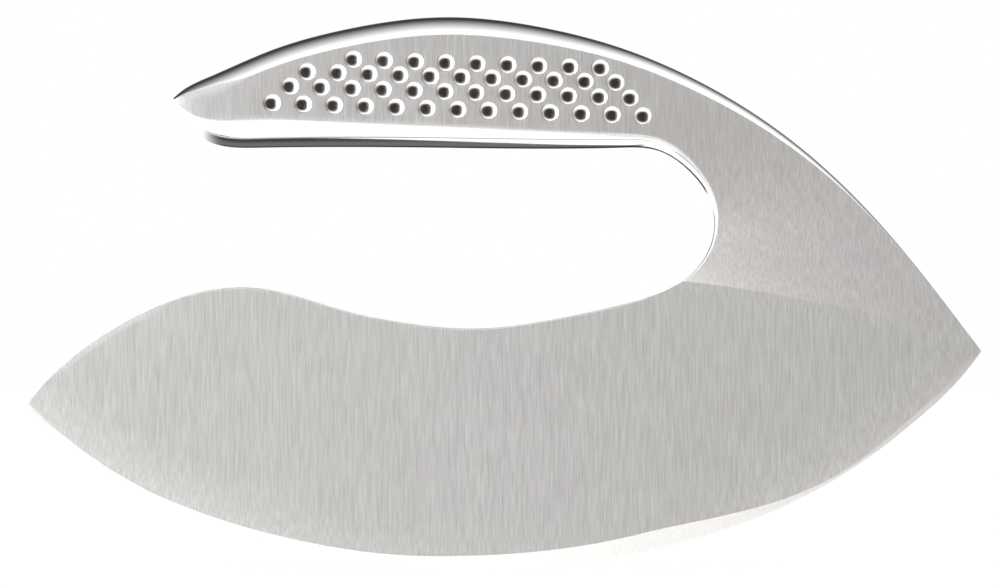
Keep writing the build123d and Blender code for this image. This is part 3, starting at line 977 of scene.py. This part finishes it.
# The dark opening, in degrees: where its middle lies from straight ahead, and half its width and height
opening_turn, opening_lift = 4.5, 6.0
opening_width, opening_height = 51, 40


def studio_world():
    """A bright tent with a dark opening in front, dim above and behind, and strong light from both sides."""
    world = bpy.data.worlds.new("studio")
    bpy.context.scene.world = world
    world.use_nodes = True
    nodes = Nodes(world.node_tree)
    x, y, z = nodes.axes("Generated")
    to_degrees = 180 / math.pi
    turn = nodes.times(nodes.math("ARCTAN2", x, nodes.times(y, -1.0)), to_degrees)
    lift = nodes.times(nodes.math("ARCSINE", z), to_degrees)
    wide = nodes.times(nodes.math("SUBTRACT", turn, opening_turn), 1 / opening_width)
    high = nodes.times(nodes.math("SUBTRACT", lift, opening_lift), 1 / opening_height)
    squares = [nodes.math("POWER", nodes.math("ABSOLUTE", part), 2.0) for part in (wide, high)]
    out = nodes.math("POWER", nodes.math("ADD", *squares), 0.5)
    opening = nodes.ramp(out, 0.8, 1.2, 1.0, 0.0)

    rightward = nodes.math("MAXIMUM", x, 0.0)
    start = nodes.times(nodes.times(rightward, rightward), 3.0)
    rear = nodes.ramp(nodes.math("SUBTRACT", y, start), -0.05, 0.8, 1.0, 0.0, smooth=False)
    rear = nodes.math("SUBTRACT", 1.0, nodes.math("POWER", rear, 1.3))
    rear = nodes.times(rear, nodes.ramp(z, 0.02, 0.15))

    light = grey(box_light)
    for share, colour in (
        (nodes.ramp(x, -0.6, -0.8), left_light),
        (nodes.ramp(x, 0.6, 0.8), right_light),
        (nodes.ramp(nodes.math("ABSOLUTE", x), 0.91, 0.985), end_light),
        (opening, front_shade),
        (rear, rear_shade),
        (nodes.ramp(y, 0.9, 0.985), rear_spot),
    ):
        light = nodes.mix(share, light, rgba(colour))
    seen = nodes.add("ShaderNodeBackground")
    seen.inputs["Color"].default_value = grey(paper_white)
    lit = nodes.add("ShaderNodeBackground")
    nodes.link(light, lit.inputs["Color"])
    chosen = nodes.either(nodes.in_view(), lit.outputs["Background"], seen.outputs["Background"])
    nodes.show(chosen, "World")


def floor_paper():
    """Pale studio paper, white but for the object's shadow."""
    material, nodes = new_material("floor_paper")
    paper = nodes.add("ShaderNodeBsdfDiffuse")
    paper.inputs["Color"].default_value = (0.82, 0.82, 0.82, 1)
    diffuse = paper.outputs["BSDF"]
    seen = nodes.either(0.85, diffuse, nodes.glow(grey(paper_white), 1.06))
    nodes.show(nodes.either(nodes.in_view(), diffuse, seen))
    return material


def even_glow(name, level):
    """White light, the same all over."""
    material, nodes = new_material(name)
    nodes.show(nodes.glow(grey(level)))
    return material


# The strip light stands upright in front of the object, at its left, in metres
strip_left, strip_right = -0.95, -0.16
strip_y = -0.45
strip_reach = 1.2  # up and down


def strip_glow():
    """The strip's light, which fades out towards the dark opening and at its ends."""
    material, nodes = new_material("strip_light")
    x, _, z = nodes.axes()
    share = nodes.ramp(x, -0.27, -0.52)
    share = nodes.times(share, nodes.ramp(x, strip_left, -0.75))
    level = nodes.math("ABSOLUTE", nodes.math("SUBTRACT", z, 0.05))
    share = nodes.times(share, nodes.ramp(level, 0.35, 0.9, 1.0, 0.0))
    added = nodes.add("ShaderNodeAddShader")
    nodes.link(nodes.add("ShaderNodeBsdfTransparent").outputs["BSDF"], added.inputs[0])
    nodes.link(nodes.glow(nodes.mix(share, (0, 0, 0, 1), grey(strip_light))), added.inputs[1])
    nodes.show(added.outputs["Shader"])
    return material


def grey_card_glow():
    """The card under the grip: dark near the object and far behind it, and as bright as the tent at its ends."""
    material, nodes = new_material("grey_card")
    x, y, _ = nodes.axes()
    shade = nodes.mix(nodes.ramp(y, 20 * mm, 70 * mm), rgba(card_near), rgba(card_middle))
    shade = nodes.mix(nodes.ramp(y, 90 * mm, 260 * mm), shade, rgba(card_far))
    fade = nodes.ramp(x, -125 * mm, -75 * mm)
    fade = nodes.times(fade, nodes.ramp(x, 30 * mm, 240 * mm, 1.0, 0.0))
    nodes.show(nodes.glow(nodes.mix(fade, grey(box_light), shade)))
    return material


def sheet_of(name, corners, material, mirrored_only=True):
    """A flat sheet of the studio, which may be seen by the steel alone."""
    mesh = bpy.data.meshes.new(name)
    mesh.from_pydata(corners, [], [tuple(range(len(corners)))])
    mesh.materials.append(material)
    obj = new_object(name, mesh)
    if mirrored_only:
        obj.visible_camera = False
        obj.visible_diffuse = False
        obj.visible_shadow = False
    return obj


# Corners of the two cards in millimetres of the real object: x and y of the grey one, y and z of the white one
grey_card_corners = (
    (-2000, -4), (-2000, 2000), (240, 2000), (240, 700), (60, 300), (23, 100), (1, 52), (-20, 27), (-40, 10), (-58, 2),
    (-70, -4),
)
grey_card_level = 0.2
white_card_corners = ((1.5, 56), (30, 20), (30, 73.5), (1.5, 73.5))
white_card_x = 27


def studio():
    """The floor, and what only the steel sees: the strip light, a card under the grip and one in the finger gap."""
    far = 20 * blade_length
    floor = [(-far, -far, 0), (far, -far, 0), (far, far, 0), (-far, far, 0)]
    sheet_of("floor", floor, floor_paper(), False).visible_glossy = False
    low, high = -strip_reach, strip_reach
    strip = [(strip_left, low), (strip_right, low), (strip_right, high), (strip_left, high)]
    sheet_of("strip_light", [(x, strip_y, z) for x, z in strip], strip_glow())
    corners = [(x * mm, y * mm, grey_card_level * mm) for x, y in grey_card_corners]
    sheet_of("grey_card", corners, grey_card_glow())
    corners = [(white_card_x * mm, y * mm, z * mm) for y, z in white_card_corners]
    sheet_of("white_card", corners, even_glow("white_card", box_light))


def camera():
    """A long lens level with the middle of the object."""
    width = 1.04821 * blade_length  # what the picture's width spans at the blade
    distance = 2.0
    middle, level = -0.0042 * blade_length, 0.4988 * top_level
    data = bpy.data.cameras.new("camera")
    data.sensor_width = 36.0
    data.lens = data.sensor_width * distance / width
    data.clip_start = 0.1
    data.clip_end = 50.0
    obj = new_object("camera", data)
    obj.location = (middle, -distance, level)
    obj.rotation_euler = (math.pi / 2, 0, 0)
    bpy.context.scene.camera = obj


def place(obj, material, slot, *nodes):
    """Gives a piece its material, hides the solids that it stands for and puts it on the root body. The slot is not
    used.
    """
    obj.data.materials.append(material)
    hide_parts(*nodes)
    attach(obj, "root")


handle_steel = steel("handle_steel", (0.79, 0.782, 0.775), 0.09)
blade_steel = steel("blade_steel", (0.84, 0.836, 0.825), 0.12)

place(shell_mesh("handle_front", -1), handle_steel, "handle_steel", "front_shell")
place(shell_mesh("handle_back", 1), handle_steel, "handle_steel", "back_shell")
place(seam_mesh("spine_seam", True), handle_steel, "weld_steel", "spine_seam_weld")
place(seam_mesh("grip_seam", False), handle_steel, "weld_steel", "grip_seam_weld")
place(blade_mesh("blade_plate"), blade_steel, "blade_steel", "blade")
place(joint_mesh("joint_front", -1), blade_steel, "weld_steel", "front_joint_weld")
place(joint_mesh("joint_back", 1), blade_steel, "weld_steel", "back_joint_weld")

sand = frame["nodes"]["sand_fill"]
sand.data.materials.clear()
sand.data.materials.append(sand_material())

studio_world()
studio()
camera()
bpy.context.scene.view_settings.view_transform = "Standard"
